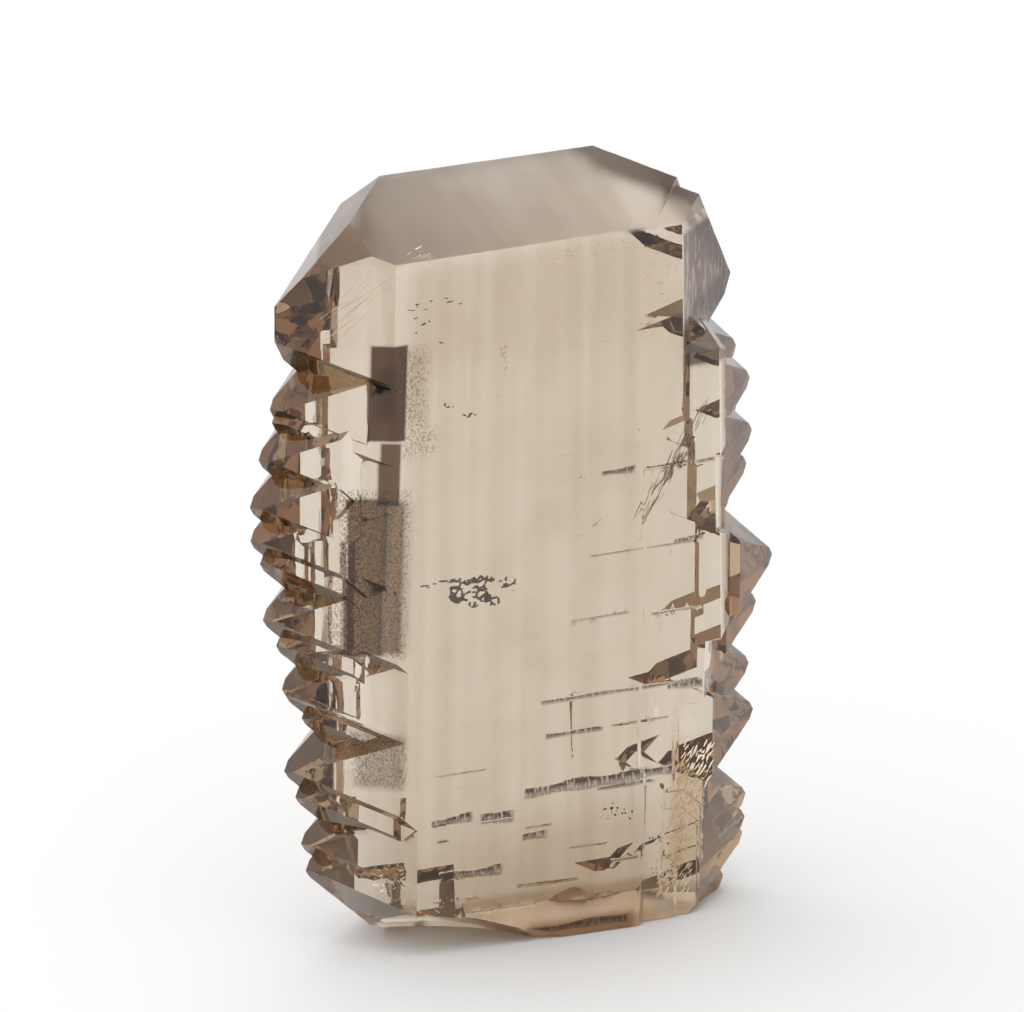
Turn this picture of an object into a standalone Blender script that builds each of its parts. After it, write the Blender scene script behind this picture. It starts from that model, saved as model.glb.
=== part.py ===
"""A smoky quartz gwindel, standing on its broken base.

A gwindel is a stack of quartz crystals that grew side by side along one of their a axes. Each is turned a
little further about that axis than the one below, so the whole is a slab with a slow twist. Here the stack
axis is Z, each member's c axis lies level, and the big prism faces look along -Y and +Y. The points at both
ends of each member stand out of the slab's edges as a row of teeth.

Lengths are in millimetres until they reach the mesh, which is in metres.
"""

import math
from collections import namedtuple

import bmesh
import bpy
from mathutils import Matrix, Vector

MM = 0.001

# The angles of quartz, which every face below keeps.
PRISM_STEP = math.radians(60.0)
POINT_TILT = math.radians(51.8)
FRONT, TOP_FRONT, TOP_BACK, BACK, BOTTOM_BACK, BOTTOM_FRONT = range(6)
LEFT, RIGHT = -1, 1

# The stack: the turn of a member's c axis from +X, which grows with its height.
TURN_AT_BASE = 24.0
TURN_PER_MM = 0.16

# Where the stack's axis stands, so that the whole has the origin under the middle of its box.
AXIS = Vector((-0.3, 0.4, 0.0))

# The slab's half thickness, and how far its points lie before its middle plane.
HALF_DEPTH = 6.5
LEAD = 0.8
# The reach of a member's end that stays inside the slab.
INSIDE = 11.0

# The side of a block that takes in the whole stack, and how often a ball's triangles are divided.
BLOCK = 80.0
BALL_DIVISIONS = 4

SMOKE = (0.31, 0.22, 0.15, 1.0)

# One crystal of the stack. height is its c axis's, left and right are the reach of its points, front and back
# the distances of its big prism faces, top_front, top_back and below those of its four others. minor is how far
# the smaller faces of its points stand out beyond the larger ones, and moved holds faces that stand elsewhere.
# end is where a flat end face cuts the right-hand point off.
Member = namedtuple("Member", "height left right front back top_front top_back below lead minor moved end")


def member(height, left=INSIDE, right=INSIDE, front=HALF_DEPTH, back=HALF_DEPTH, slopes=HALF_DEPTH, **special):
    """A member, regular but for what special names."""
    shape = dict(top_front=slopes, top_back=slopes, below=slopes, lead=LEAD, minor=0.3, moved={}, end=BLOCK)
    shape.update(special)
    return Member(height, left, right, front, back, **shape)


def shoulder(height, edge, end, front, back, **special):
    """A member whose front face runs to the right as far as edge, with a blunt point that stops at end."""
    reach = edge + front * math.tan(POINT_TILT)
    return member(height, right=reach, front=front, back=back, lead=0.0, end=end, **special)


# The cap of the stack, whose points lack some of their smaller faces.
CAP = (
    member(
        44.7, 19.3, 18.6, front=6.6, back=7.0, top_front=9.15, top_back=10.1,
        moved={
            (RIGHT, FRONT): -2.5, (RIGHT, TOP_FRONT): 4.0, (RIGHT, TOP_BACK): 1.3,
            (LEFT, FRONT): 0.9, (LEFT, TOP_FRONT): 4.0, (LEFT, TOP_BACK): 2.6,
        },
    ),
    shoulder(
        44.5, edge=10.3, end=19.3, front=6.2, back=6.8, top_front=8.9, top_back=9.7,
        moved={(RIGHT, BACK): 1.4, (RIGHT, TOP_FRONT): 5.0, (RIGHT, TOP_BACK): 0.9},
    ),
)

# The crystals that make the front face, from the top down.
SLAB = (
    member(39.6, 19.8, 14.0, front=6.55, back=6.6),
    member(35.0, 19.4, 14.0, front=6.4, back=6.45),
    member(30.6, 19.6, 14.2, front=6.5, back=6.6),
    member(25.0, 19.1, 14.4, front=6.45, back=6.4),
    member(19.2, 18.3, 14.2, front=6.55, back=6.55),
    member(13.4, 18.1, 14.0, front=6.4, back=6.5),
    member(7.8, 16.9, 14.4, front=6.3, back=6.3),
    member(2.8, 13.0, 14.2, front=6.4, back=6.4),
)

# The lower steps to the right of the front face.
SHOULDERS = (
    shoulder(37.8, edge=13.4, end=14.6, front=6.3, back=6.4),
    shoulder(33.4, edge=13.0, end=14.5, front=6.2, back=6.5),
    shoulder(29.9, edge=13.1, end=14.7, front=6.3, back=6.4),
    shoulder(24.4, edge=13.5, end=15.2, front=6.2, back=6.5),
    shoulder(19.9, edge=12.0, end=14.6, front=6.3, back=6.4),
    shoulder(13.9, edge=9.6, end=14.2, front=6.2, back=6.3),
    shoulder(6.4, edge=9.0, end=16.4, front=6.1, back=6.4),
)

LEFT_TEETH = (
    member(40.6, left=20.0, front=5.3, back=5.8),
    member(37.0, left=20.8, front=4.7, back=5.2),
    member(33.6, left=21.4, front=4.6, back=5.6),
    member(31.1, left=21.3, front=5.0, back=4.9),
    member(29.3, left=20.5, front=4.7, back=5.3),
    member(25.1, left=20.2, front=4.8, back=5.7),
    member(23.0, left=19.1, front=4.5, back=4.8),
    member(19.7, left=18.6, front=4.4, back=5.0),
    member(17.3, left=17.0, front=5.4, back=4.2),
    member(13.5, left=18.3, front=6.2, back=5.4),
    member(11.4, left=17.4, front=5.5, back=4.6),
    member(8.4, left=15.4, front=5.6, back=5.9),
    member(5.7, left=16.5, front=6.0, back=5.1),
)

RIGHT_TEETH = (
    member(40.1, right=18.3, front=4.9, back=5.3),
    member(37.6, right=19.4, front=5.2, back=5.0),
    member(35.6, right=18.2, front=4.5, back=4.6),
    member(33.7, right=19.5, front=5.1, back=5.4),
    member(31.3, right=19.0, front=4.8, back=4.6),
    member(29.2, right=17.6, front=5.3, back=5.2),
    member(24.3, right=21.0, front=4.6, back=5.5),
    member(21.0, right=19.6, front=4.2, back=4.9),
    member(16.5, right=18.9, front=4.4, back=5.2),
    member(13.0, right=19.2, front=5.2, back=4.7),
    member(6.7, right=18.5, front=5.4, back=5.6),
    member(5.0, right=18.4, front=5.5, back=4.8),
    member(3.8, right=18.2, front=5.6, back=5.3),
    member(0.8, right=16.6, front=5.8, back=5.0),
)

# The base is a level break with shell-shaped chips out of its rim: each the middle and the radius of a sphere.
CHIPS = (
    ((-6.0, -17.0, -21.3), 25.5),
    ((3.0, -12.5, -6.0), 9.4),
    ((-16.5, -8.0, -4.5), 7.0),
    ((15.5, 10.5, -4.6), 6.6),
    ((2.0, 13.0, -7.2), 9.4),
    ((-11.0, 7.5, -6.4), 8.8),
)


def turn_at(height):
    """The turn of the c axis at a height, in radians."""
    return math.radians(TURN_AT_BASE + TURN_PER_MM * height)


def prism_normal(face):
    """The way a prism face looks: the front one along -Y, then every sixth of a turn over the top."""
    angle = face * PRISM_STEP
    return Vector((0.0, -math.cos(angle), math.sin(angle)))


def point_normal(face, side):
    """The way the point's face over a prism face looks, at the left or the right end."""
    along = Vector((side * math.cos(POINT_TILT), 0.0, 0.0))
    return along + math.sin(POINT_TILT) * prism_normal(face)


def prism_planes(crystal):
    """The six long faces, as normals and distances from the c axis."""
    distances = {
        FRONT: crystal.front,
        TOP_FRONT: crystal.top_front,
        TOP_BACK: crystal.top_back,
        BACK: crystal.back,
        BOTTOM_BACK: crystal.below,
        BOTTOM_FRONT: crystal.below,
    }
    return [(prism_normal(face), distance) for face, distance in distances.items()]


def point_planes(crystal, side):
    """One point's six faces, of which three larger ones alternate with the others, and its flat end."""
    reach = crystal.right if side == RIGHT else crystal.left
    tip = Vector((side * reach, -crystal.lead, 0.0))
    larger = (FRONT, TOP_BACK, BOTTOM_BACK) if side == RIGHT else (BACK, TOP_FRONT, BOTTOM_FRONT)
    for face in range(6):
        normal = point_normal(face, side)
        out = crystal.moved.get((side, face), 0.0 if face in larger else crystal.minor)
        yield normal, normal.dot(tip) + out
    if side == RIGHT:
        yield Vector((1.0, 0.0, 0.0)), crystal.end


def cut_face(bm, normal, distance):
    """Cuts the block along a plane, drops what is outside it, and closes the cut with one flat face."""
    everything = bm.verts[:] + bm.edges[:] + bm.faces[:]
    cut = bmesh.ops.bisect_plane(
        bm, geom=everything, dist=1e-8, plane_co=normal * distance * MM, plane_no=normal, clear_outer=True
    )
    rim = [part for part in cut["geom_cut"] if isinstance(part, bmesh.types.BMEdge)]
    if rim:
        bmesh.ops.contextual_create(bm, geom=rim)


def add_object(name, bm, collection):
    """Puts a finished mesh in a collection as an object."""
    bmesh.ops.recalc_face_normals(bm, faces=bm.faces)
    mesh = bpy.data.meshes.new(name)
    bm.to_mesh(mesh)
    bm.free()
    made = bpy.data.objects.new(name, mesh)
    collection.objects.link(made)
    return made


def cut_crystal(name, crystal, collection):
    """A block cut to a quartz crystal, turned and lifted to its place in the stack."""
    bm = bmesh.new()
    bmesh.ops.create_cube(bm, size=BLOCK * MM)
    for normal, distance in prism_planes(crystal):
        cut_face(bm, normal, distance)
    for side in (LEFT, RIGHT):
        for normal, distance in point_planes(crystal, side):
            cut_face(bm, normal, distance)
    turn = Matrix.Rotation(turn_at(crystal.height), 4, "Z")
    lift = Matrix.Translation((AXIS + Vector((0.0, 0.0, crystal.height))) * MM)
    bmesh.ops.transform(bm, matrix=lift @ turn, verts=bm.verts)
    return add_object(name, bm, collection)


def break_base(collection):
    """The rock under the level break, and the balls that leave the chips."""
    bm = bmesh.new()
    bmesh.ops.create_cube(bm, size=BLOCK * MM)
    bmesh.ops.translate(bm, vec=(0, 0, -BLOCK / 2 * MM), verts=bm.verts)
    add_object("rock", bm, collection)
    for number, (middle, radius) in enumerate(CHIPS, 1):
        bm = bmesh.new()
        bmesh.ops.create_icosphere(bm, subdivisions=BALL_DIVISIONS, radius=radius * MM)
        bmesh.ops.translate(bm, vec=(AXIS + Vector(middle)) * MM, verts=bm.verts)
        add_object(f"chip_{number}", bm, collection)


def smoky_quartz():
    """Clear brown quartz."""
    material = bpy.data.materials.new("smoky_quartz")
    material.use_nodes = True
    shader = material.node_tree.nodes["Principled BSDF"]
    shader.inputs["Base Color"].default_value = SMOKE
    shader.inputs["Roughness"].default_value = 0.03
    shader.inputs["Metallic"].default_value = 0.0
    shader.inputs["IOR"].default_value = 1.544
    return material


def new_collection(name, shown):
    """A collection of the part's own objects, or of helpers that stay out of the model."""
    made = bpy.data.collections.new(name)
    made.hide_render = not shown
    bpy.context.scene.collection.children.link(made)
    return made


def add_boolean(target, name, operation, collection):
    """Joins a collection's objects to the target, or cuts them from it."""
    step = target.modifiers.new(name, "BOOLEAN")
    step.operation = operation
    step.operand_type = "COLLECTION"
    step.collection = collection


def main():
    for old in list(bpy.data.objects):
        bpy.data.objects.remove(old)
    part = new_collection("gwindel", shown=True)
    members = new_collection("members", shown=False)
    breaks = new_collection("breaks", shown=False)

    stack = CAP + SLAB + SHOULDERS + LEFT_TEETH + RIGHT_TEETH
    gwindel = cut_crystal("gwindel", stack[0], part)
    for number, crystal in enumerate(stack[1:], 2):
        cut_crystal(f"member_{number}", crystal, members)
    break_base(breaks)
    for helper in list(members.objects) + list(breaks.objects):
        helper.hide_render = True
        helper.display_type = "WIRE"

    add_boolean(gwindel, "grown together", "UNION", members)
    add_boolean(gwindel, "broken from the rock", "DIFFERENCE", breaks)
    gwindel.data.materials.append(smoky_quartz())


main()
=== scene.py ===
"""The looks of a smoky quartz gwindel, laid out as a Blender add-on.

Places on the crystal are given in the stack's own coordinates, in millimetres: c runs along a
member's c axis to the right, z is the height, and n is the distance behind the c axis, so the big
front face is at n = -6.5.
"""

import math
from collections import namedtuple

import bmesh
import bpy
import numpy as np
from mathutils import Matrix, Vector, noise


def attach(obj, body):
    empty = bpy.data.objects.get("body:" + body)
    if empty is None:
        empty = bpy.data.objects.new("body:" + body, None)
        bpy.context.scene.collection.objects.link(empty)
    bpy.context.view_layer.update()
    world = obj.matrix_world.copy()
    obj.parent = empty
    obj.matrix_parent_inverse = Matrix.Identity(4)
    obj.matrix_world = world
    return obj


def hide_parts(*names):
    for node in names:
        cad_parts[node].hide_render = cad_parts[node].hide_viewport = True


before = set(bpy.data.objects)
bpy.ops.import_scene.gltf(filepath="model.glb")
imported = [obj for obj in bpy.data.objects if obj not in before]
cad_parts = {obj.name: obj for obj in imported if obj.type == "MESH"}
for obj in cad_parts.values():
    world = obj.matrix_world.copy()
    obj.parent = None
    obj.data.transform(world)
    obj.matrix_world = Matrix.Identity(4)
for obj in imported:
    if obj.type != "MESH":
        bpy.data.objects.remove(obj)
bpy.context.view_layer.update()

bl_info = {
    "name": "Smoky quartz gwindel",
    "version": (1, 0, 0),
    "blender": (4, 5, 0),
    "location": "View3D > Sidebar > Gwindel",
    "description": "Makes the crystal's surface, its inner marks and a plain studio",
    "category": "Add Mesh",
}

MM = 0.001
BODY = "root"
NODE = "gwindel"

# How often, at most, an edge is halved to reach the skin's grain.
DIVISIONS = 10

# Points of the solid closer than this are one, and faces that turn by less than this are one face.
# After the levelling, edges this short are closed up and faces this thin are dropped.
SAME_POINT = 0.001 * MM
SAME_FACE = math.radians(0.3)
SHORT_EDGE = 0.05 * MM
THIN_FACE = 0.01 * MM

# The cosine of how far a levelled face may lean, and the angle from which an edge shades as sharp.
LEVEL = math.cos(math.radians(3.5))
SHADED_SHARP = math.radians(9)

# An edge is worn where it turns and measures more than this. The wear's depth is in mm. It comes and
# goes as noise at two scales per metre, the second weaker, and is raised by a share everywhere.
SHARP = math.radians(12)
WORN_EDGE = 0.1 * MM
WEAR = 0.02
WEAR_COARSE, WEAR_FINE = 900.0, 2600.0
WEAR_FINE_SHARE = 0.6
WEAR_RAISED = 0.25

# The stack, as the solid has it: where its axis stands, and how the c axis turns with the height.
AXIS = np.array([-0.3, 0.4, 0.0])
TURN_AT_BASE = 24.0
TURN_PER_MM = 0.16
FRONT_FACE = -6.5
BACK_FACE = 6.6

# How far a step's face may stand from the smooth twisted face that it is levelled to, in front and behind.
FRONT_STEP, BACK_STEP = 0.5, 0.85

# The dark notches where two crystals of the stack meet, on the front, in mm: both ends, the height,
# how tall and how deep.
Suture = namedtuple("Suture", "left right z tall deep")
SUTURES = (
    Suture(3.6, 6.6, 34.05, 0.55, 0.05),
    Suture(6.9, 10.6, 33.85, 0.30, 0.07),
    Suture(11.0, 13.2, 33.8, 0.35, 0.07),
    Suture(2.8, 11.8, 28.05, 0.14, 0.06),
    Suture(9.6, 12.2, 28.25, 0.35, 0.06),
    Suture(1.3, 6.2, 23.5, 0.16, 0.06),
    Suture(7.8, 12.0, 23.1, 0.16, 0.06),
    Suture(-1.0, 12.0, 17.75, 0.26, 0.09),
    Suture(9.2, 13.8, 17.5, 0.45, 0.09),
    Suture(-0.6, 4.2, 15.2, 0.42, 0.07),
    Suture(4.6, 9.5, 15.3, 0.13, 0.06),
    Suture(-2.2, 11.0, 11.25, 0.85, 0.10),
    Suture(3.6, 8.4, 10.7, 0.30, 0.06),
    Suture(-9.4, -6.0, 9.95, 0.75, 0.10),
    Suture(-5.6, -2.8, 9.7, 0.85, 0.10),
    Suture(-2.1, 0.2, 8.6, 0.20, 0.06),
    Suture(-2.3, -0.1, 7.9, 0.65, 0.10),
    Suture(-8.7, -3.6, 5.8, 0.75, 0.09),
    Suture(-2.6, 2.4, 4.3, 0.22, 0.05),
    Suture(-2.0, 6.4, 0.75, 0.60, 0.05),
    Suture(-9.0, -7.8, 8.5, 0.14, 0.05),
    Suture(1.4, 4.6, 6.6, 0.12, 0.05),
    Suture(4.8, 8.3, 5.2, 0.14, 0.05),
    Suture(-6.2, -1.0, 2.8, 0.12, 0.05),
    Suture(-9.2, -5.4, 3.9, 0.12, 0.05),
    Suture(-14.9, -12.6, 11.9, 0.22, 0.06),
    Suture(-9.2, -5.0, 13.4, 0.12, 0.04),
)

# A notch runs in short blocks. They stand higher or lower, and are taller or shorter, by these shares
# of its height, and each kind of change has its own block length in mm and its own row of jogs.
BLOCK_SHIFT, SHIFT_LENGTH = 0.16, 0.9
HALF_HEIGHT, HEIGHT_CHANGE, CHANGE_LENGTH = 0.42, 0.16, 0.55
CHANGE_ROW = 40
JOG_BLOCK, JOG_ROW, JOG_SWING = 78.233, 12.9898, 3.7

# How far a notch runs out at its ends and its rims, in mm, and how dark it is: at its middle, and how
# much that gains over its height, so that its upper side, which faces down, takes a painted shade.
END_TAPER, RIM_TAPER = 0.25, 0.09
DARK_MIDDLE, DARK_GAIN = 0.95, 0.5

# The fine mesh at a notch: its grain, and how far it reaches past the notch in height (a share of
# how tall it is, and mm), at its ends and from the front face.
NOTCH_GRAIN = 0.13 * MM
NOTCH_SPAN, NOTCH_MARGIN, NOTCH_ENDS, NOTCH_FACE = 0.9, 0.1, 0.3, 0.1

# The floor lies this far under the crystal's base, so that the two never share a plane.
FLOOR_GAP = 0.05 * MM
FLOOR_SEGMENTS = 96
FLOOR_ROUGHNESS, FLOOR_SPECULAR = 0.8, 0.1

# The camera: its sensor in mm, the photo's width in pixels, and a pixel's size on the crystal in mm.
# It looks at this height on the crystal's axis, and is then moved up and to the right by these mm.
SENSOR = 36.0
PHOTO_WIDTH = 1024
PIXEL = 0.0713
AIM_HEIGHT = 28.0
MOVED_UP, MOVED_RIGHT = 2.53, -0.23
CLIP_END = 20.0

# How often light may pass from face to face inside the stone.
BOUNCES, GLOSSY_BOUNCES = 32, 16

# How the studio changes towards a side: the axis and its sign, where the change starts and ends, and
# the share of the light that is left there.
Fade = namedtuple("Fade", "axis sign start end left")
FADES = (
    Fade(0, -1.0, 0.6, 1.0, 0.75),
    Fade(0, 1.0, 0.25, 0.62, 0.22),
    Fade(1, -1.0, 0.3, 0.85, 0.65),
    Fade(2, 1.0, 0.6, 0.95, 1.38),
)

# How light passes through the crystal.
QUARTZ_IOR = 1.544
SMOKE_DENSITY = 46.0
SMOKE_COLOUR = (0.51, 0.30, 0.01)


class GwindelCrystal(bpy.types.PropertyGroup):
    """The crystal's skin."""

    grain: bpy.props.FloatProperty(
        name="Grain",
        description="Longest edge of the fine mesh",
        default=0.7 * MM,
        unit="LENGTH",
        precision=5,
    )


class GwindelStage(bpy.types.PropertyGroup):
    """The plain studio."""

    floor_radius: bpy.props.FloatProperty(
        name="Floor radius", description="Reach of the pale floor", default=3.0, unit="LENGTH"
    )
    floor_colour: bpy.props.FloatVectorProperty(
        name="Floor colour",
        description="Colour of the floor",
        default=(0.96, 0.96, 0.96),
        size=3,
        subtype="COLOR",
    )
    world_strength: bpy.props.FloatProperty(
        name="World strength", description="Brightness of the light all round", default=1.19, min=0.0
    )
    camera_distance: bpy.props.FloatProperty(
        name="Camera distance", description="From the crystal's middle", default=0.6, unit="LENGTH"
    )
    camera_tilt: bpy.props.FloatProperty(
        name="Camera tilt",
        description="How far the camera looks down",
        default=math.radians(16),
        unit="ROTATION",
    )


class Wire:
    """A shader socket that adds its own Math nodes when it is used in an expression."""

    def __init__(self, graph, socket):
        self.graph, self.socket = graph, socket

    def _math(self, operation, *values):
        return self.graph.node("ShaderNodeMath", *values, operation=operation)

    def __add__(self, other):
        return self._math("ADD", self, other)

    def __radd__(self, other):
        return self._math("ADD", other, self)

    def __mul__(self, other):
        return self._math("MULTIPLY", self, other)

    def __rmul__(self, other):
        return self._math("MULTIPLY", other, self)


class Graph:
    """A node tree, with one method that adds any node."""

    def __init__(self, tree):
        self.tree = tree

    def node(self, kind, *values, out=0, inputs=None, **settings):
        """Adds a node: its settings first, then the values or wires of its sockets.

        They come in the sockets' order, where None skips one, and then by name or number in inputs.
        """
        made = self.tree.nodes.new(kind)
        for key, value in settings.items():
            setattr(made, key, value)
        for key, value in [*enumerate(values), *(inputs or {}).items()]:
            if value is not None:
                self.feed(made.inputs[key], value)
        return Wire(self, made.outputs[out])

    def feed(self, socket, value):
        """Links a wire to a socket, or sets the socket to a number or colour."""
        if isinstance(value, Wire):
            self.tree.links.new(value.socket, socket)
        else:
            socket.default_value = value

    def smooth(self, value, low, high, below=0.0, above=1.0):
        """One value below low, another above high, and a soft step between."""
        step = "SMOOTHSTEP"
        return self.node("ShaderNodeMapRange", value, low, high, below, above, interpolation_type=step)

    def larger(self, first, second):
        """The larger of two values."""
        return self.node("ShaderNodeMath", first, second, operation="MAXIMUM")

    def mix(self, share, first, second, blend="MIX"):
        """The second colour over the first. The numbers are the sockets that the node uses for colours."""
        sockets = {0: share, 6: first, 7: second}
        return self.node("ShaderNodeMix", data_type="RGBA", blend_type=blend, out=2, inputs=sockets)


class Finish(Graph):
    """A new material's nodes."""

    def __init__(self, name):
        self.material = bpy.data.materials.new(name)
        self.material.use_nodes = True
        super().__init__(self.material.node_tree)
        self.sockets = self.tree.nodes["Principled BSDF"].inputs

    def set(self, **given):
        """Sets or links sockets of the shader. An underscore stands for a space in their names."""
        for name, value in given.items():
            self.feed(self.sockets[name.replace("_", " ")], value)


def turn_at(z):
    """The turn of the c axis at a height in mm, in radians."""
    return np.radians(TURN_AT_BASE + TURN_PER_MM * np.asarray(z))


def to_world(c, z, n):
    """A place in the stack's own coordinates, as x, y, z in metres."""
    turn = turn_at(z)
    x = AXIS[0] + c * np.cos(turn) - n * np.sin(turn)
    y = AXIS[1] + c * np.sin(turn) + n * np.cos(turn)
    return np.stack([x, y, np.asarray(z) + 0 * x], axis=-1) * MM


def to_stack(points):
    """c, z and n in mm of places in metres."""
    x, y, z = (np.asarray(points) / MM - AXIS).T
    turn = turn_at(z)
    return x * np.cos(turn) + y * np.sin(turn), z, y * np.cos(turn) - x * np.sin(turn)


def coordinates(bm):
    """The mesh's points as an array, in metres."""
    return np.array([vert.co for vert in bm.verts])


def coordinates_of(mesh):
    """The finished mesh's points as an array, in metres."""
    flat = np.empty(len(mesh.vertices) * 3, "f")
    mesh.vertices.foreach_get("co", flat)
    return flat.reshape(-1, 3)


def level_faces(bm):
    """Marks the faces whose small steps are levelled: 1 in front and 2 behind."""
    side = bm.faces.layers.int.new("side")
    bm.verts.index_update()
    bm.normal_update()
    c, z, n = to_stack(coordinates(bm))
    for face in bm.faces:
        turn = float(turn_at(face.calc_center_median().z / MM))
        facing = face.normal.dot(Vector((math.sin(turn), -math.cos(turn), 0.0)))
        index = [vert.index for vert in face.verts]
        if facing > LEVEL and abs(n[index] - FRONT_FACE).max() < FRONT_STEP:
            face[side] = 1
        if -facing > LEVEL and abs(n[index] - BACK_FACE).max() < BACK_STEP:
            face[side] = 2


def settle(bm):
    """Brings the marked faces to one smooth twisted face in front and one behind.

    Returns which points lie on the one in front.
    """
    side = bm.faces.layers.int["side"]
    bm.verts.index_update()
    bm.verts.ensure_lookup_table()
    c, z, n = to_stack(coordinates(bm))
    on_front, on_back = np.zeros(len(c), bool), np.zeros(len(c), bool)
    for face in bm.faces:
        if face[side]:
            marked = on_front if face[side] == 1 else on_back
            marked[[vert.index for vert in face.verts]] = True
    n[on_front], n[on_back] = FRONT_FACE, BACK_FACE
    moved = to_world(c, z, n)
    for index in np.nonzero(on_front | on_back)[0]:
        bm.verts[index].co = moved[index]
    return on_front


def jog(number, c, width):
    """A step up or down that changes from block to block along c, from -1 to 1."""
    block = np.floor(c / width)
    return np.sin((block + 1) * JOG_BLOCK + number * JOG_ROW) * np.cos(block * JOG_SWING + number)


def suture_depth(c, z):
    """How deep the notches cut the front face at c, z, in mm, and how dark they are, from 0 to 1."""
    depth, near = np.zeros_like(c), np.zeros_like(c)
    for number, suture in enumerate(SUTURES):
        middle = suture.z + BLOCK_SHIFT * suture.tall * jog(number, c, SHIFT_LENGTH)
        change = HEIGHT_CHANGE * jog(number + CHANGE_ROW, c, CHANGE_LENGTH)
        half = suture.tall * (HALF_HEIGHT + change)
        along = np.clip(np.minimum(c - suture.left, suture.right - c) / END_TAPER, 0, 1)
        cut = np.clip((half - np.abs(z - middle)) / RIM_TAPER + 0.5, 0, 1) * along
        depth = np.maximum(depth, cut * suture.deep)
        # The joint's own brown with painted shade: darker towards the notch's upper side, which faces
        # down.
        dark = np.clip(DARK_MIDDLE + DARK_GAIN * (z - middle) / suture.tall, 0, 1)
        near = np.maximum(near, cut * dark)
    return depth, near


def wanted_grain(points, grain):
    """The longest edge allowed at each place: finer at the notches of the front."""
    c, z, n = to_stack(points)
    fine = np.full(len(c), grain)
    for suture in SUTURES:
        beside = np.maximum(np.abs(z - suture.z) - suture.tall * NOTCH_SPAN, 0) < NOTCH_MARGIN
        along = (c > suture.left - NOTCH_ENDS) & (c < suture.right + NOTCH_ENDS)
        fine[beside & along & (np.abs(n - FRONT_FACE) < NOTCH_FACE)] = NOTCH_GRAIN
    return fine


def fine_copy(node, grain):
    """The solid's mesh, merged, levelled in front and behind, and divided down to the grain."""
    bm = bmesh.new()
    bm.from_mesh(node.data)
    bmesh.ops.remove_doubles(bm, verts=bm.verts, dist=SAME_POINT)
    bmesh.ops.dissolve_limit(bm, angle_limit=SAME_FACE, verts=bm.verts, edges=bm.edges)
    level_faces(bm)
    settle(bm)
    bmesh.ops.remove_doubles(bm, verts=bm.verts, dist=SHORT_EDGE)
    bmesh.ops.dissolve_degenerate(bm, edges=bm.edges, dist=THIN_FACE)
    bmesh.ops.triangulate(bm, faces=bm.faces)
    for _ in range(DIVISIONS):
        ends = np.array([[edge.verts[0].co, edge.verts[1].co] for edge in bm.edges])
        lengths = np.linalg.norm(ends[:, 0] - ends[:, 1], axis=1)
        longer = lengths > wanted_grain(ends.mean(axis=1), grain)
        if not longer.any():
            break
        long = [edge for edge, is_long in zip(bm.edges, longer) if is_long]
        bmesh.ops.subdivide_edges(bm, edges=long, cuts=1)
        bmesh.ops.triangulate(bm, faces=[face for face in bm.faces if len(face.verts) > 3])
    return bm


def work_surface(bm):
    """Cuts the notches and wears the edges. Returns how dark each point is."""
    on_front = settle(bm)
    bm.normal_update()
    points = coordinates(bm)
    normals = np.array([vert.normal for vert in bm.verts])
    c, z, n = to_stack(points)
    depth, near = suture_depth(c, z)
    depth[~on_front] = 0
    near[~on_front] = 0
    n = n + depth
    points = to_world(c, z, n)
    edge_points = np.zeros(len(c), bool)
    for edge in bm.edges:
        if edge.is_manifold and edge.calc_face_angle() > SHARP and edge.calc_length() > WORN_EDGE:
            edge_points[edge.verts[0].index] = edge_points[edge.verts[1].index] = True
    coarse = np.array([noise.noise(Vector(point) * WEAR_COARSE) for point in points])
    fine = np.array([noise.noise(Vector(point) * WEAR_FINE) for point in points])
    wear = np.clip(coarse + WEAR_FINE_SHARE * fine + WEAR_RAISED, 0, 1)
    points -= normals * (edge_points * wear * WEAR * MM)[:, None]
    for vert, place in zip(bm.verts, points):
        vert.co = place
    return near


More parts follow.
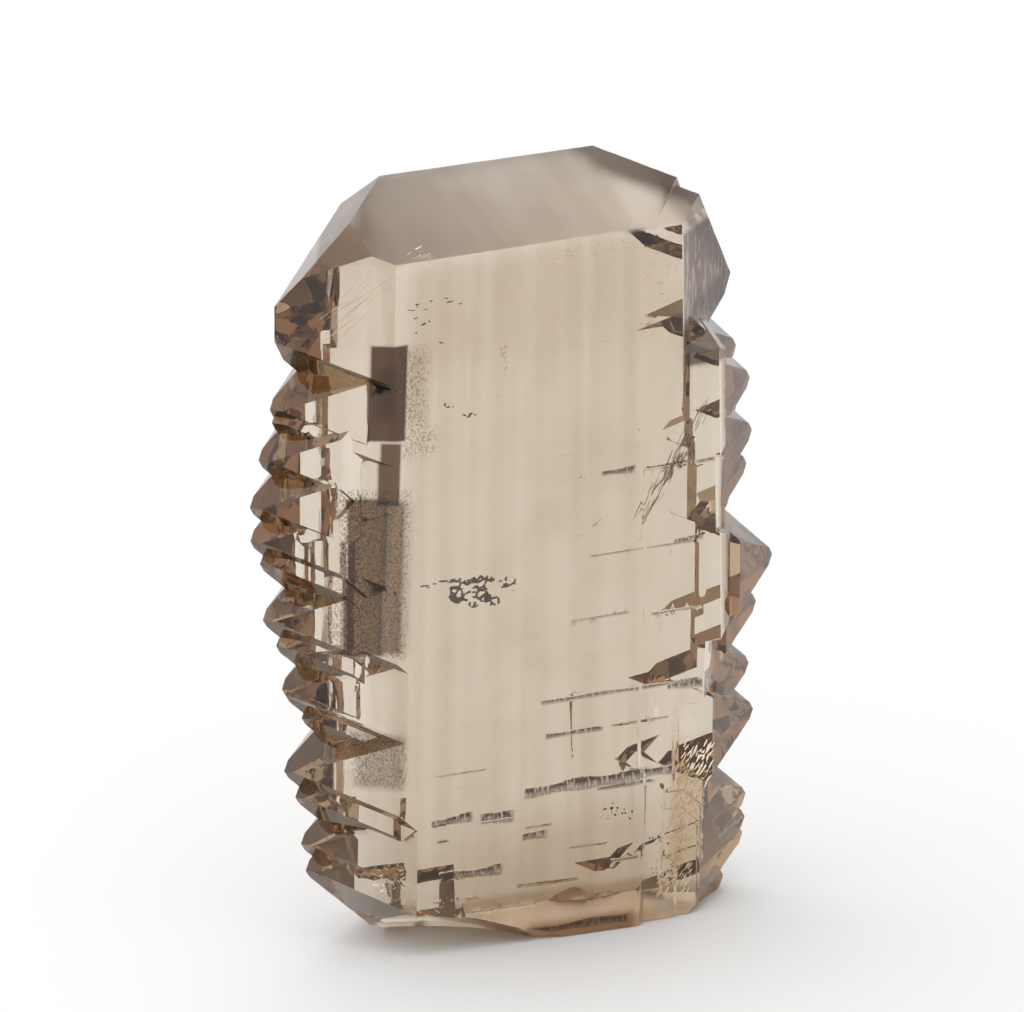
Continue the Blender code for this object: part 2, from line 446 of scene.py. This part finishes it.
# Places on the skin: from and to along c, from and to in height, and the depth n that they reach
# back to. soft is half the width of the rim. shade is the share of each colour that the skin lets
# through there.
Patch = namedtuple("Patch", "c0 c1 z0 z1 n1 soft shade", defaults=[None])
FRONT, MIDDLE, ALL = -3.0, 1.5, 12.0
ETCHED = (
    Patch(-16.4, -11.7, 22.6, 35.0, FRONT, 0.3),
    Patch(-13.2, -10.6, 38.5, 45.2, FRONT, 0.7),
    Patch(-14.6, -11.4, 12.9, 16.6, FRONT, 0.5),
    Patch(-12.6, -9.8, 37.2, 39.4, FRONT, 0.5),
)
CLOUDY = (
    Patch(10.5, 20.0, 43.2, 50.6, MIDDLE, 0.35),
    Patch(-16.0, -9.8, 0.5, 6.5, FRONT, 1.2),
)
TONES_AND_PAINTED_SHADE = (
    Patch(-12.5, 14.0, -12.0, 51.0, FRONT, 0.8, (0.88, 0.85, 0.80)),
    Patch(-13.0, 11.0, 43.5, 51.0, FRONT, 3.0, (0.93, 0.90, 0.88)),
    Patch(-8.0, 9.5, -9.0, 9.5, FRONT, 3.0, (0.88, 0.82, 0.76)),
    Patch(-14.7, -12.3, 38.6, 45.6, FRONT, 0.12, (0.14, 0.07, 0.03)),
    Patch(-12.4, -10.9, 39.8, 45.2, FRONT, 0.9, (0.80, 0.75, 0.70)),
    Patch(-13.9, -12.6, 33.9, 38.5, FRONT, 0.12, (0.20, 0.12, 0.07)),
    Patch(-14.3, -13.1, 40.2, 44.0, FRONT, 0.45, (0.55, 0.42, 0.30)),
    Patch(-15.9, -13.2, 22.7, 34.4, FRONT, 0.2, (0.24, 0.16, 0.10)),
    Patch(-13.4, -12.1, 22.9, 34.2, FRONT, 0.3, (0.40, 0.31, 0.24)),
    Patch(-12.3, -11.6, 22.9, 33.8, FRONT, 0.8, (0.72, 0.66, 0.60)),
    Patch(-14.4, -11.6, 12.8, 16.8, FRONT, 0.35, (0.62, 0.58, 0.55)),
    Patch(-30.0, -15.0, 45.0, 54.0, MIDDLE, 1.0, (0.92, 0.88, 0.86)),
    # The right part of the cap: its own darker smoke and painted shade over facets that would take the
    # bright sky.
    Patch(10.4, 20.0, 40.8, 50.4, MIDDLE, 0.25, (0.24, 0.17, 0.13)),
    Patch(10.4, 20.0, 50.0, 58.0, MIDDLE, 0.8, (0.62, 0.56, 0.52)),
    # The right teeth: their own brown and the painted shade of their slanted facets.
    Patch(13.8, 30.0, 8.5, 42.0, MIDDLE, 0.3, (0.62, 0.46, 0.34)),
    Patch(-8.0, 9.0, -9.0, 2.0, FRONT, 0.8, (0.86, 0.80, 0.74)),
    Patch(-1.6, 6.8, -9.0, 1.3, FRONT, 0.4, (0.62, 0.52, 0.44)),
    Patch(9.8, 14.6, 3.5, 13.0, FRONT, 1.0, (0.82, 0.72, 0.60)),
    Patch(-20.0, 20.0, -9.0, 1.0, ALL, 0.4, (0.78, 0.68, 0.58)),
)
ROOF = Patch(-30.0, 30.0, 51.2, 60.0, ALL, 0.3)
FROSTED = Patch(2.0, 11.5, 52.0, 57.0, ALL, 1.5)
BREAK = Patch(-20.0, 20.0, -9.0, 1.2, ALL, 0.6)

# How far a patch fades in depth, in mm. Tones with rims of this half width or more are kept on the
# mesh, whose grain is fine enough for them, because that renders sooner than nodes do.
DEPTH_RIM = 0.3
WIDE_RIM = 0.8

# The shares let through in the growth bands, the mottled parts, the etched strips and the notches, where
# the joints' own brown and a painted shade are laid on as one, the fibres' own colour, and the colour of
# the clear stone.
BANDED = (0.93, 0.92, 0.90)
MOTTLED = (0.95, 0.93, 0.90)
ETCH = (0.5, 0.42, 0.36)
JOINT_BROWN_AND_PAINTED_SHADE = (0.12, 0.065, 0.035)
FIBRE = (0.62, 0.55, 0.50, 1)
CLEAR = (1, 1, 1, 1)

# How much of the etched strips and of the fibres shows, and how the notches' darkness varies.
ETCH_SHARE, FIBRE_SHARE = 0.8, 0.4
HATCH_LEAST, HATCH_MORE = 0.6, 0.4

# Patterns on the skin, as noise: its scale per metre and detail, and from where to where it sets in.
# The bands' scale is per mm, because they read the stack's own coordinates.
Pattern = namedtuple("Pattern", "scale detail low high", defaults=[0.0, 1.0])
SPECKLE = Pattern(6500.0, 1.0, 0.50, 0.60)
FIBRES = Pattern(2200.0, 5.0, 0.50, 0.68)
HATCH = Pattern(1700.0, 4.0, 0.36, 0.52)
FROST = Pattern(500.0, 3.0, 0.42, 0.66)
MOTTLE = Pattern(160.0, 5.0, 0.45, 0.75)
BANDS = Pattern(0.55, 1.0, 0.35, 0.75)
RIPPLE = Pattern(420.0, 3.0)

# How the fibres' and the notches' patterns are stretched along each axis, and the bands along z.
FIBRE_STRETCH = (1.0, 1.0, 0.3)
HATCH_STRETCH = (3.0, 3.0, 0.8)
BAND_STRETCH = 0.02

# How rough the skin is in each place.
ROUGH_ETCHED = 0.3
ROUGH_CLOUDY = 0.32
ROUGH_FROST = 0.35
ROUGH_BREAK = 0.28
ROUGH_ROOF, ROUGH_MOTTLE = 0.30, 0.10

# The bumps of the ripples and of the etched strips: their strength and their height.
RIPPLE_BUMP = (0.25, 0.02 * MM)
ETCH_BUMP = (0.5, 0.03 * MM)


def soft_step(values, low, high):
    """0 at low, 1 at high, and a soft step between, as the shader's."""
    share = np.clip((values - low) / (high - low), 0, 1)
    return share * share * (3 - 2 * share)


def share_inside(patch, c, z, n):
    """1 at points of the mesh inside the patch, 0 outside, with a soft rim."""
    low, high = -patch.soft, patch.soft
    across = soft_step(c, patch.c0 + low, patch.c0 + high) * soft_step(c, patch.c1 + high, patch.c1 + low)
    upright = soft_step(z, patch.z0 + low, patch.z0 + high) * soft_step(z, patch.z1 + high, patch.z1 + low)
    return across * upright * soft_step(n, patch.n1 + DEPTH_RIM, patch.n1 - DEPTH_RIM)


def wide_tones(c, z, n):
    """The product of the tones with wide rims at points of the mesh, as linear colours."""
    tone = np.ones((len(c), 4))
    for patch in TONES_AND_PAINTED_SHADE:
        if patch.soft >= WIDE_RIM:
            share = share_inside(patch, c, z, n)[:, None]
            tone[:, :3] *= 1 - share + share * np.array(patch.shade) ** 2
    return tone


def quartz_material():
    """Clear smoky quartz, with etched strips, dark notches, a frosted ridge and cloudy ends."""
    finish = Finish("smoky_quartz")
    node, smooth, larger = finish.node, finish.smooth, finish.larger
    place = node("ShaderNodeTexCoord", out="Object")
    stack = node("ShaderNodeAttribute", attribute_name="stack", out="Vector")
    c, z, n = (node("ShaderNodeSeparateXYZ", stack, out=axis) for axis in range(3))
    suture = node("ShaderNodeAttribute", attribute_name="suture", out="Fac")
    pitted = node("ShaderNodeAttribute", attribute_name="pitted", out="Fac")
    wide = node("ShaderNodeAttribute", attribute_name="wide_tones", out="Color")

    def inside(patch):
        """1 inside the patch, 0 outside, with a soft rim."""
        low, high = -patch.soft, patch.soft
        across = smooth(c, patch.c0 + low, patch.c0 + high) * smooth(c, patch.c1 + high, patch.c1 + low)
        upright = smooth(z, patch.z0 + low, patch.z0 + high) * smooth(z, patch.z1 + high, patch.z1 + low)
        return across * upright * smooth(n, patch.n1 + DEPTH_RIM, patch.n1 - DEPTH_RIM)

    def any_of(patches):
        """1 inside any of the patches."""
        total = inside(patches[0])
        for patch in patches[1:]:
            total = larger(total, inside(patch))
        return total

    def grain(pattern, vector=place):
        """A pattern's noise."""
        return node("ShaderNodeTexNoise", vector, None, pattern.scale, pattern.detail)

    def spots(pattern, vector=place):
        """1 where a pattern's noise is high, 0 where it is low."""
        return smooth(grain(pattern, vector), pattern.low, pattern.high)

    def stretched(stretch):
        """The place on the piece, stretched along each axis."""
        return node("ShaderNodeVectorMath", place, stretch, operation="MULTIPLY")

    def shaded(colour, share, shade):
        """The colour, darkened towards shade.

        The shader takes its colour's square root where light crosses the skin, so the shade is squared.
        """
        tint = (*(value ** 2 for value in shade), 1)
        return finish.mix(share, colour, tint, "MULTIPLY")

    etched = any_of(ETCHED) * spots(SPECKLE)
    fibre = any_of(CLOUDY) * spots(FIBRES, stretched(FIBRE_STRETCH))
    hatch = HATCH_LEAST + HATCH_MORE * spots(HATCH, stretched(HATCH_STRETCH))
    frost = inside(FROSTED) * spots(FROST)
    mottle = spots(MOTTLE)
    bands = spots(BANDS, node("ShaderNodeCombineXYZ", c, 0.0, z * BAND_STRETCH))

    colour = shaded(CLEAR, bands, BANDED)
    colour = shaded(colour, mottle, MOTTLED)
    colour = finish.mix(1.0, colour, wide, "MULTIPLY")
    # Among these tones the right cap and the right teeth also carry painted shade.
    for patch in TONES_AND_PAINTED_SHADE:
        if patch.soft < WIDE_RIM:
            colour = shaded(colour, inside(patch), patch.shade)
    colour = shaded(colour, etched * ETCH_SHARE, ETCH)
    # The notches' dark: their joints' own brown and painted shade, laid on as one.
    colour = shaded(colour, suture * hatch, JOINT_BROWN_AND_PAINTED_SHADE)
    colour = finish.mix(fibre * FIBRE_SHARE, colour, FIBRE)
    rough = larger(etched * ROUGH_ETCHED + inside(CLOUDY[0]) * ROUGH_CLOUDY, frost * ROUGH_FROST)
    rough = larger(rough, inside(BREAK) * ROUGH_BREAK)
    rough = larger(rough, inside(ROOF) * (ROUGH_ROOF + ROUGH_MOTTLE * mottle))
    ripples = node("ShaderNodeBump", *RIPPLE_BUMP, inputs={"Height": grain(RIPPLE)})
    pit = pitted * spots(SPECKLE)
    bump = node("ShaderNodeBump", *ETCH_BUMP, inputs={"Height": pit, "Normal": ripples})
    finish.set(Base_Color=colour, Roughness=rough, Normal=bump)
    finish.set(IOR=QUARTZ_IOR, Transmission_Weight=1.0)
    smoke = {"Color": (*SMOKE_COLOUR, 1), "Density": SMOKE_DENSITY}
    absorb = node("ShaderNodeVolumeAbsorption", inputs=smoke)
    finish.feed(finish.tree.nodes["Material Output"].inputs["Volume"], absorb)
    return finish.material


# The inner films' noises, per metre: their tone, the patches that show and the meshes of a net.
TONE_SCALE, PATCH_SCALE, MESH_SCALE = 900.0, 2600.0, 1700.0
NOISE_DETAIL = 2.0

# The darkest tone's share of the colour, and from where to where a patch sets in, less a share of cover.
DARKEST = 0.45
PATCH_LOW, PATCH_HIGH, COVER_SHARE = 0.62, 0.72, 0.3

# From where to where a net's threads fade out, and how much of them shows.
THREAD_OUT, THREAD_IN, THREAD_SHARE = 0.16, 0.10, 0.85


def inner_material(name, colour, metallic, roughness, cover, net=False, painted_glow=0.0):
    """A thin inner film.

    cover is the share of it that shows: in patches, or as a net. The last argument is how much it shines,
    by a painted glow.
    """
    finish = Finish(name)
    place = finish.node("ShaderNodeTexCoord", out="Object")
    tone = finish.node("ShaderNodeTexNoise", place, None, TONE_SCALE, NOISE_DETAIL)
    darkest = (*(DARKEST * value for value in colour), 1)
    mixed = finish.mix(tone, darkest, (*colour, 1))
    patchy = finish.node("ShaderNodeTexNoise", place, None, PATCH_SCALE, NOISE_DETAIL)
    seen = finish.smooth(patchy, PATCH_LOW - cover * COVER_SHARE, PATCH_HIGH - cover * COVER_SHARE)
    if net:
        rim = finish.node("ShaderNodeTexVoronoi", place, None, MESH_SCALE, feature="DISTANCE_TO_EDGE")
        seen = seen * finish.smooth(rim, THREAD_OUT, THREAD_IN) * THREAD_SHARE
    # Painted light: emission makes the film glow in its own colour like a glint, though it is no lamp.
    finish.set(Base_Color=mixed, Emission_Color=mixed, Emission_Strength=painted_glow)
    finish.set(Metallic=metallic, Roughness=roughness, Alpha=seen)
    return finish.material


# The smallest and the largest flake, as shares of a cloud's sizes.
FLAKE_SIZES = (0.35, 1.3)


def flake_tree():
    """Geometry Nodes that scatter thin flakes over a guide surface, each tilted and sized at random."""
    tree = bpy.data.node_groups.new("flakes", "GeometryNodeTree")
    tree.is_modifier = True
    tree.interface.new_socket("Geometry", in_out="OUTPUT", socket_type="NodeSocketGeometry")
    tree.interface.new_socket("Guide", in_out="INPUT", socket_type="NodeSocketGeometry")
    for name in ("Density", "Long", "Wide", "Thick", "Tilt", "Turn", "Lean"):
        tree.interface.new_socket(name, in_out="INPUT", socket_type="NodeSocketFloat")
    tree.interface.new_socket("Seed", in_out="INPUT", socket_type="NodeSocketInt")
    tree.interface.new_socket("Material", in_out="INPUT", socket_type="NodeSocketMaterial")
    link = tree.links.new

    def add(kind, inputs=None, **settings):
        """Adds a node with its settings, then its sockets' values."""
        made = tree.nodes.new(kind)
        for key, value in settings.items():
            setattr(made, key, value)
        for key, value in (inputs or {}).items():
            made.inputs[key].default_value = value
        return made

    given = add("NodeGroupInput").outputs
    scatter = add("GeometryNodeDistributePointsOnFaces")
    link(given["Guide"], scatter.inputs["Mesh"])
    link(given["Density"], scatter.inputs["Density"])
    link(given["Seed"], scatter.inputs["Seed"])
    flake = add("GeometryNodeMeshIcoSphere", {"Radius": 0.5, "Subdivisions": 1})

    size = add("ShaderNodeCombineXYZ")
    for axis, name in enumerate(("Long", "Wide", "Thick")):
        link(given[name], size.inputs[axis])
    swing = add("FunctionNodeRandomValue", dict(zip((2, 3), FLAKE_SIZES)), data_type="FLOAT")
    link(given["Seed"], swing.inputs["Seed"])
    scaled = add("ShaderNodeVectorMath", operation="SCALE")
    link(size.outputs[0], scaled.inputs[0])
    link(swing.outputs[1], scaled.inputs["Scale"])

    tilt = add("FunctionNodeRandomValue", data_type="FLOAT_VECTOR")
    for limit, sign in enumerate((-1.0, 1.0)):
        corner = add("ShaderNodeCombineXYZ")
        for axis, name in enumerate(("Tilt", "Tilt", "Turn")):
            signed = add("ShaderNodeMath", {1: sign, 2: 0.0}, operation="MULTIPLY_ADD")
            link(given[name], signed.inputs[0])
            if name == "Turn":
                link(given["Lean"], signed.inputs[2])
            link(signed.outputs[0], corner.inputs[axis])
        link(corner.outputs[0], tilt.inputs[limit])
    link(given["Seed"], tilt.inputs["Seed"])
    spin = add("FunctionNodeRotateRotation", rotation_space="LOCAL")
    link(scatter.outputs["Rotation"], spin.inputs[0])
    link(tilt.outputs[0], spin.inputs[1])

    copies = add("GeometryNodeInstanceOnPoints")
    link(scatter.outputs["Points"], copies.inputs["Points"])
    link(flake.outputs["Mesh"], copies.inputs["Instance"])
    link(spin.outputs[0], copies.inputs["Rotation"])
    link(scaled.outputs[0], copies.inputs["Scale"])
    real = add("GeometryNodeRealizeInstances")
    link(copies.outputs[0], real.inputs[0])
    finish = add("GeometryNodeSetMaterial")
    link(real.outputs[0], finish.inputs["Geometry"])
    link(given["Material"], finish.inputs["Material"])
    link(finish.outputs[0], add("NodeGroupOutput").inputs[0])
    return tree


# A cloud of flakes on a strip inside the crystal: its two ends as c, z, n, its width, how many flakes
# to a square mm, and their sizes in mm. tilt and turn are how far they swing out of the strip and
# within it, in radians, from a direction that leans by lean.
Cloud = namedtuple("Cloud", "start end width density long wide thick tilt turn seed lean", defaults=[0.0])


def guide_strip(cloud):
    """A flat strip from a cloud's start to its end that faces the front, as a mesh."""
    start, end = (Vector(to_world(c, z, n)) for c, z, n in (cloud.start, cloud.end))
    along = (end - start).normalized()
    turn = float(turn_at(cloud.start[1]))
    facing = Vector((math.sin(turn), -math.cos(turn), 0.0))
    side = along.cross(facing).normalized() * cloud.width * MM / 2
    bm = bmesh.new()
    bmesh.ops.create_grid(bm, x_segments=1, y_segments=1, size=0.5)
    corners = [start - side, end - side, start + side, end + side]
    for vert, corner in zip(bm.verts, corners):
        vert.co = corner
    bmesh.ops.recalc_face_normals(bm, faces=bm.faces)
    if bm.faces[:][0].normal.dot(facing) < 0:
        bmesh.ops.reverse_faces(bm, faces=bm.faces)
    mesh = bpy.data.meshes.new("guide")
    bm.to_mesh(mesh)
    bm.free()
    return mesh


def grow_flakes(piece_name, clouds, material):
    """One piece of all the flakes of some clouds, made by the flake tree and joined."""
    tree = bpy.data.node_groups.get("flakes") or flake_tree()
    sockets = {item.name: item.identifier for item in tree.interface.items_tree if item.in_out == "INPUT"}
    joined = bmesh.new()
    for cloud in clouds:
        guide = bpy.data.objects.new("guide", guide_strip(cloud))
        bpy.context.scene.collection.objects.link(guide)
        step = guide.modifiers.new("flakes", "NODES")
        step.node_group = tree
        step[sockets["Density"]] = cloud.density / MM**2
        for name in ("long", "wide", "thick"):
            step[sockets[name.capitalize()]] = getattr(cloud, name) * MM
        for name in ("tilt", "turn", "lean", "seed"):
            step[sockets[name.capitalize()]] = getattr(cloud, name)
        step[sockets["Material"]] = material
        graph = bpy.context.evaluated_depsgraph_get()
        made = bpy.data.meshes.new_from_object(guide.evaluated_get(graph))
        joined.from_mesh(made)
        bpy.data.meshes.remove(made)
        bpy.data.objects.remove(guide)
    mesh = bpy.data.meshes.new(piece_name)
    joined.to_mesh(mesh)
    joined.free()
    mesh.materials.clear()
    mesh.materials.append(material)
    piece = bpy.data.objects.new(piece_name, mesh)
    bpy.context.scene.collection.objects.link(piece)
    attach(piece, BODY)


NET = (
    Cloud((-10.6, 27.7, -6.1), (-7.6, 27.6, -6.1), 0.5, 4.0, 1.0, 0.22, 0.02, 0.05, 0.1, 1),
    Cloud((-8.4, 27.1, -6.0), (-4.8, 27.2, -6.0), 1.1, 4.5, 1.3, 0.55, 0.02, 0.05, 0.15, 2),
    Cloud((-7.6, 26.1, -5.9), (-4.6, 26.3, -5.9), 1.2, 4.5, 1.2, 0.6, 0.02, 0.05, 0.15, 3),
    Cloud((-4.4, 26.9, -5.9), (-2.8, 26.7, -5.9), 1.1, 4.0, 0.6, 0.35, 0.02, 0.05, 0.2, 7),
    Cloud((-9.3, 40.9, -6.0), (-6.6, 39.8, -6.0), 0.7, 3.5, 1.0, 0.2, 0.02, 0.05, 0.2, 4),
    Cloud((-12.5, 48.3, -6.2), (-8.0, 48.2, -6.2), 0.8, 3.0, 0.7, 0.14, 0.02, 0.05, 0.2, 5),
    Cloud((-12.0, 46.9, -6.2), (-9.0, 45.6, -6.2), 1.4, 1.5, 0.6, 0.14, 0.02, 0.05, 0.5, 8),
    Cloud((2.0, 33.9, -6.2), (6.8, 33.9, -6.2), 0.5, 4.0, 0.4, 0.12, 0.02, 0.05, 0.2, 6),
)
# The streaks are warm veils with a faint painted glow.
FEATHER = (
    Cloud((12.6, 37.6, -5.6), (7.2, 30.2, -5.8), 1.3, 5.0, 1.6, 0.09, 0.02, 0.2, 0.12, 11, 1.05),
    Cloud((11.4, 35.4, -5.2), (8.4, 31.4, -5.4), 0.9, 5.0, 1.1, 0.16, 0.02, 0.3, 0.2, 12, 1.0),
    Cloud((1.6, 29.3, -5.9), (4.4, 30.6, -5.9), 0.4, 3.0, 0.6, 0.08, 0.02, 0.3, 0.2, 13, 0.5),
)
# The sparkling films shine by their metal and by a painted glow that stands in for glints.
SPARKLE = (
    Cloud((12.6, 12.6, -5.2), (10.2, 1.4, -5.4), 2.6, 12.0, 0.6, 0.11, 0.02, 0.3, 0.3, 21, 0.95),
    Cloud((12.6, 10.5, -3.8), (10.0, 2.0, -4.0), 2.4, 8.0, 0.5, 0.12, 0.02, 0.5, 0.6, 22, 0.9),
    Cloud((-12.5, 6.5, -4.8), (-8.6, 2.6, -5.0), 2.4, 6.0, 0.5, 0.11, 0.02, 0.8, 1.0, 23),
    Cloud((1.4, 3.0, -5.4), (8.6, 1.4, -5.4), 1.2, 1.6, 0.6, 0.08, 0.02, 0.8, 0.5, 24),
    Cloud((-3.4, 50.4, -6.25), (5.6, 50.3, -6.25), 1.0, 5.0, 0.6, 0.12, 0.02, 0.1, 0.5, 25),
    Cloud((6.2, 50.0, -6.2), (9.6, 47.0, -6.2), 2.4, 1.6, 0.5, 0.10, 0.02, 0.1, 0.9, 28, 0.6),
    Cloud((-12.2, 52.2, -5.9), (-9.4, 50.6, -6.1), 1.0, 4.0, 0.8, 0.10, 0.02, 0.1, 0.2, 29, 0.5),
    Cloud((-16.4, 46.2, -2.4), (-13.2, 50.0, -4.4), 2.6, 1.4, 3.0, 0.08, 0.02, 0.1, 0.15, 26, 0.8),
    Cloud((-4.6, 44.8, -6.2), (-4.0, 42.7, -6.2), 0.5, 9.0, 0.35, 0.22, 0.02, 0.5, 1.5, 27),
)
SPECKS = (
    Cloud((4.2, 9.0, -6.1), (6.6, 8.4, -6.1), 1.2, 7.0, 0.16, 0.15, 0.12, 0.0, 0.0, 31),
    Cloud((8.2, 6.4, -6.0), (9.6, 5.4, -6.0), 1.0, 7.0, 0.15, 0.14, 0.12, 0.0, 0.0, 32),
    Cloud((8.0, 3.9, -6.0), (9.2, 2.7, -6.0), 0.8, 7.0, 0.13, 0.13, 0.1, 0.0, 0.0, 33),
)


class GWINDEL_OT_inner_marks(bpy.types.Operator):
    """Makes the veils, streaks, sparkles and specks inside the crystal"""

    bl_idname = "gwindel.inner_marks"
    bl_label = "Inner marks"

    def execute(self, context):
        # The warm veils glow faintly and the pale films more: painted light, emission standing in for
        # glints.
        brown = inner_material("brown_veil", (0.34, 0.22, 0.14), 0.0, 0.4, 1.4, net=True)
        warm = inner_material("warm_veil", (0.62, 0.42, 0.25), 0.4, 0.3, 1.1, painted_glow=0.12)
        bright = inner_material("pale_film_painted_glow", (1.0, 0.86, 0.66), 0.6, 0.3, 1.0, painted_glow=0.45)
        black = inner_material("black_speck", (0.02, 0.015, 0.01), 0.0, 0.4, 2.0)
        grow_flakes("net_veil", NET, brown)
        grow_flakes("feather_veil", FEATHER, warm)
        grow_flakes("sparkling_films", SPARKLE, bright)
        grow_flakes("black_specks", SPECKS, black)
        return {"FINISHED"}


class GWINDEL_OT_crystal(bpy.types.Operator):
    """Makes the crystal's fine skin over the solid"""

    bl_idname = "gwindel.crystal"
    bl_label = "Crystal"

    def execute(self, context):
        sizes = context.scene.gwindel_crystal
        bm = fine_copy(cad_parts[NODE], sizes.grain)
        near = work_surface(bm)
        mesh = bpy.data.meshes.new("gwindel_crystal")
        bm.to_mesh(mesh)
        bm.free()
        c, z, n = to_stack(coordinates_of(mesh))
        kept = mesh.attributes.new("stack", "FLOAT_VECTOR", "POINT")
        kept.data.foreach_set("vector", np.stack((c, z, n), axis=1).astype("f").ravel())
        pitted = np.max([share_inside(patch, c, z, n) for patch in ETCHED], axis=0)
        for name, values in (("suture", near), ("pitted", pitted)):
            kept = mesh.attributes.new(name, "FLOAT", "POINT")
            kept.data.foreach_set("value", values.astype("f"))
        kept = mesh.attributes.new("wide_tones", "FLOAT_COLOR", "POINT")
        kept.data.foreach_set("color", wide_tones(c, z, n).astype("f").ravel())
        mesh.shade_smooth()
        mesh.set_sharp_from_angle(angle=SHADED_SHARP)
        mesh.materials.append(quartz_material())
        piece = bpy.data.objects.new("gwindel_crystal", mesh)
        context.scene.collection.objects.link(piece)
        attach(piece, BODY)
        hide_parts(NODE)
        return {"FINISHED"}


def light_world(tree, strength):
    """White all round: dimmer to both sides and behind the camera, and brighter overhead.

    The camera itself sees plain white.
    """
    graph = Graph(tree)
    around = graph.node("ShaderNodeTexCoord", out="Generated")
    bright = strength
    for fade in FADES:
        aside = fade.sign * graph.node("ShaderNodeSeparateXYZ", around, out=fade.axis)
        bright = graph.smooth(aside, fade.start, fade.end, 1.0, fade.left) * bright
    white = (1, 1, 1, 1)
    light = graph.node("ShaderNodeBackground", white, bright)
    backdrop = graph.node("ShaderNodeBackground", white, 1.0)
    seen = graph.node("ShaderNodeLightPath", out="Is Camera Ray")
    either = graph.node("ShaderNodeMixShader", seen, light, backdrop)
    graph.feed(tree.nodes["World Output"].inputs["Surface"], either)


class GWINDEL_OT_stage(bpy.types.Operator):
    """Makes the pale floor, the soft light and the camera"""

    bl_idname = "gwindel.stage"
    bl_label = "Stage"

    def execute(self, context):
        sizes = context.scene.gwindel_stage
        bm = bmesh.new()
        bmesh.ops.create_circle(bm, cap_ends=True, segments=FLOOR_SEGMENTS, radius=sizes.floor_radius)
        bmesh.ops.translate(bm, vec=(0, 0, -FLOOR_GAP), verts=bm.verts)
        mesh = bpy.data.meshes.new("floor")
        bm.to_mesh(mesh)
        bm.free()
        finish = Finish("floor")
        finish.set(Base_Color=(*sizes.floor_colour, 1), Roughness=FLOOR_ROUGHNESS)
        finish.set(Specular_IOR_Level=FLOOR_SPECULAR)
        mesh.materials.append(finish.material)
        floor = bpy.data.objects.new("floor", mesh)
        context.scene.collection.objects.link(floor)

        world = bpy.data.worlds.new("studio")
        world.use_nodes = True
        light_world(world.node_tree, sizes.world_strength)
        context.scene.world = world

        lens = bpy.data.cameras.new("camera")
        lens.sensor_width = SENSOR
        lens.lens = sizes.camera_distance / (PIXEL * MM) * SENSOR / PHOTO_WIDTH
        lens.clip_end = CLIP_END
        camera = bpy.data.objects.new("camera", lens)
        tilt = sizes.camera_tilt
        forward = Vector((0, math.cos(tilt), -math.sin(tilt)))
        up = Vector((0, math.sin(tilt), math.cos(tilt)))
        moved = up * MOVED_UP * MM + Vector((MOVED_RIGHT * MM, 0, 0))
        camera.location = Vector((0, 0, AIM_HEIGHT * MM)) - forward * sizes.camera_distance + moved
        camera.rotation_euler = (math.pi / 2 - tilt, 0, 0)
        context.scene.collection.objects.link(camera)
        context.scene.camera = camera

        context.scene.view_settings.view_transform = "Standard"
        cycles = context.scene.cycles
        cycles.max_bounces = BOUNCES
        cycles.transmission_bounces = BOUNCES
        cycles.glossy_bounces = GLOSSY_BOUNCES
        return {"FINISHED"}


class GWINDEL_PT_sidebar(bpy.types.Panel):
    """Lists the steps that make the gwindel, with their sizes"""

    bl_idname = "GWINDEL_PT_sidebar"
    bl_label = "Smoky quartz gwindel"
    bl_space_type = "VIEW_3D"
    bl_region_type = "UI"
    bl_category = "Gwindel"

    def draw(self, context):
        column = self.layout.column()
        column.prop(context.scene.gwindel_crystal, "grain")
        column.operator(GWINDEL_OT_crystal.bl_idname)
        column.operator(GWINDEL_OT_inner_marks.bl_idname)
        for name in GwindelStage.__annotations__:
            column.prop(context.scene.gwindel_stage, name)
        column.operator(GWINDEL_OT_stage.bl_idname)


CLASSES = (
    GwindelCrystal,
    GwindelStage,
    GWINDEL_OT_crystal,
    GWINDEL_OT_inner_marks,
    GWINDEL_OT_stage,
    GWINDEL_PT_sidebar,
)


def register():
    for made in CLASSES:
        bpy.utils.register_class(made)
    bpy.types.Scene.gwindel_crystal = bpy.props.PointerProperty(type=GwindelCrystal)
    bpy.types.Scene.gwindel_stage = bpy.props.PointerProperty(type=GwindelStage)


def unregister():
    del bpy.types.Scene.gwindel_stage
    del bpy.types.Scene.gwindel_crystal
    for made in reversed(CLASSES):
        bpy.utils.unregister_class(made)


def main():
    register()
    bpy.ops.gwindel.crystal()
    bpy.ops.gwindel.inner_marks()
    bpy.ops.gwindel.stage()


if __name__ == "__main__":
    main()
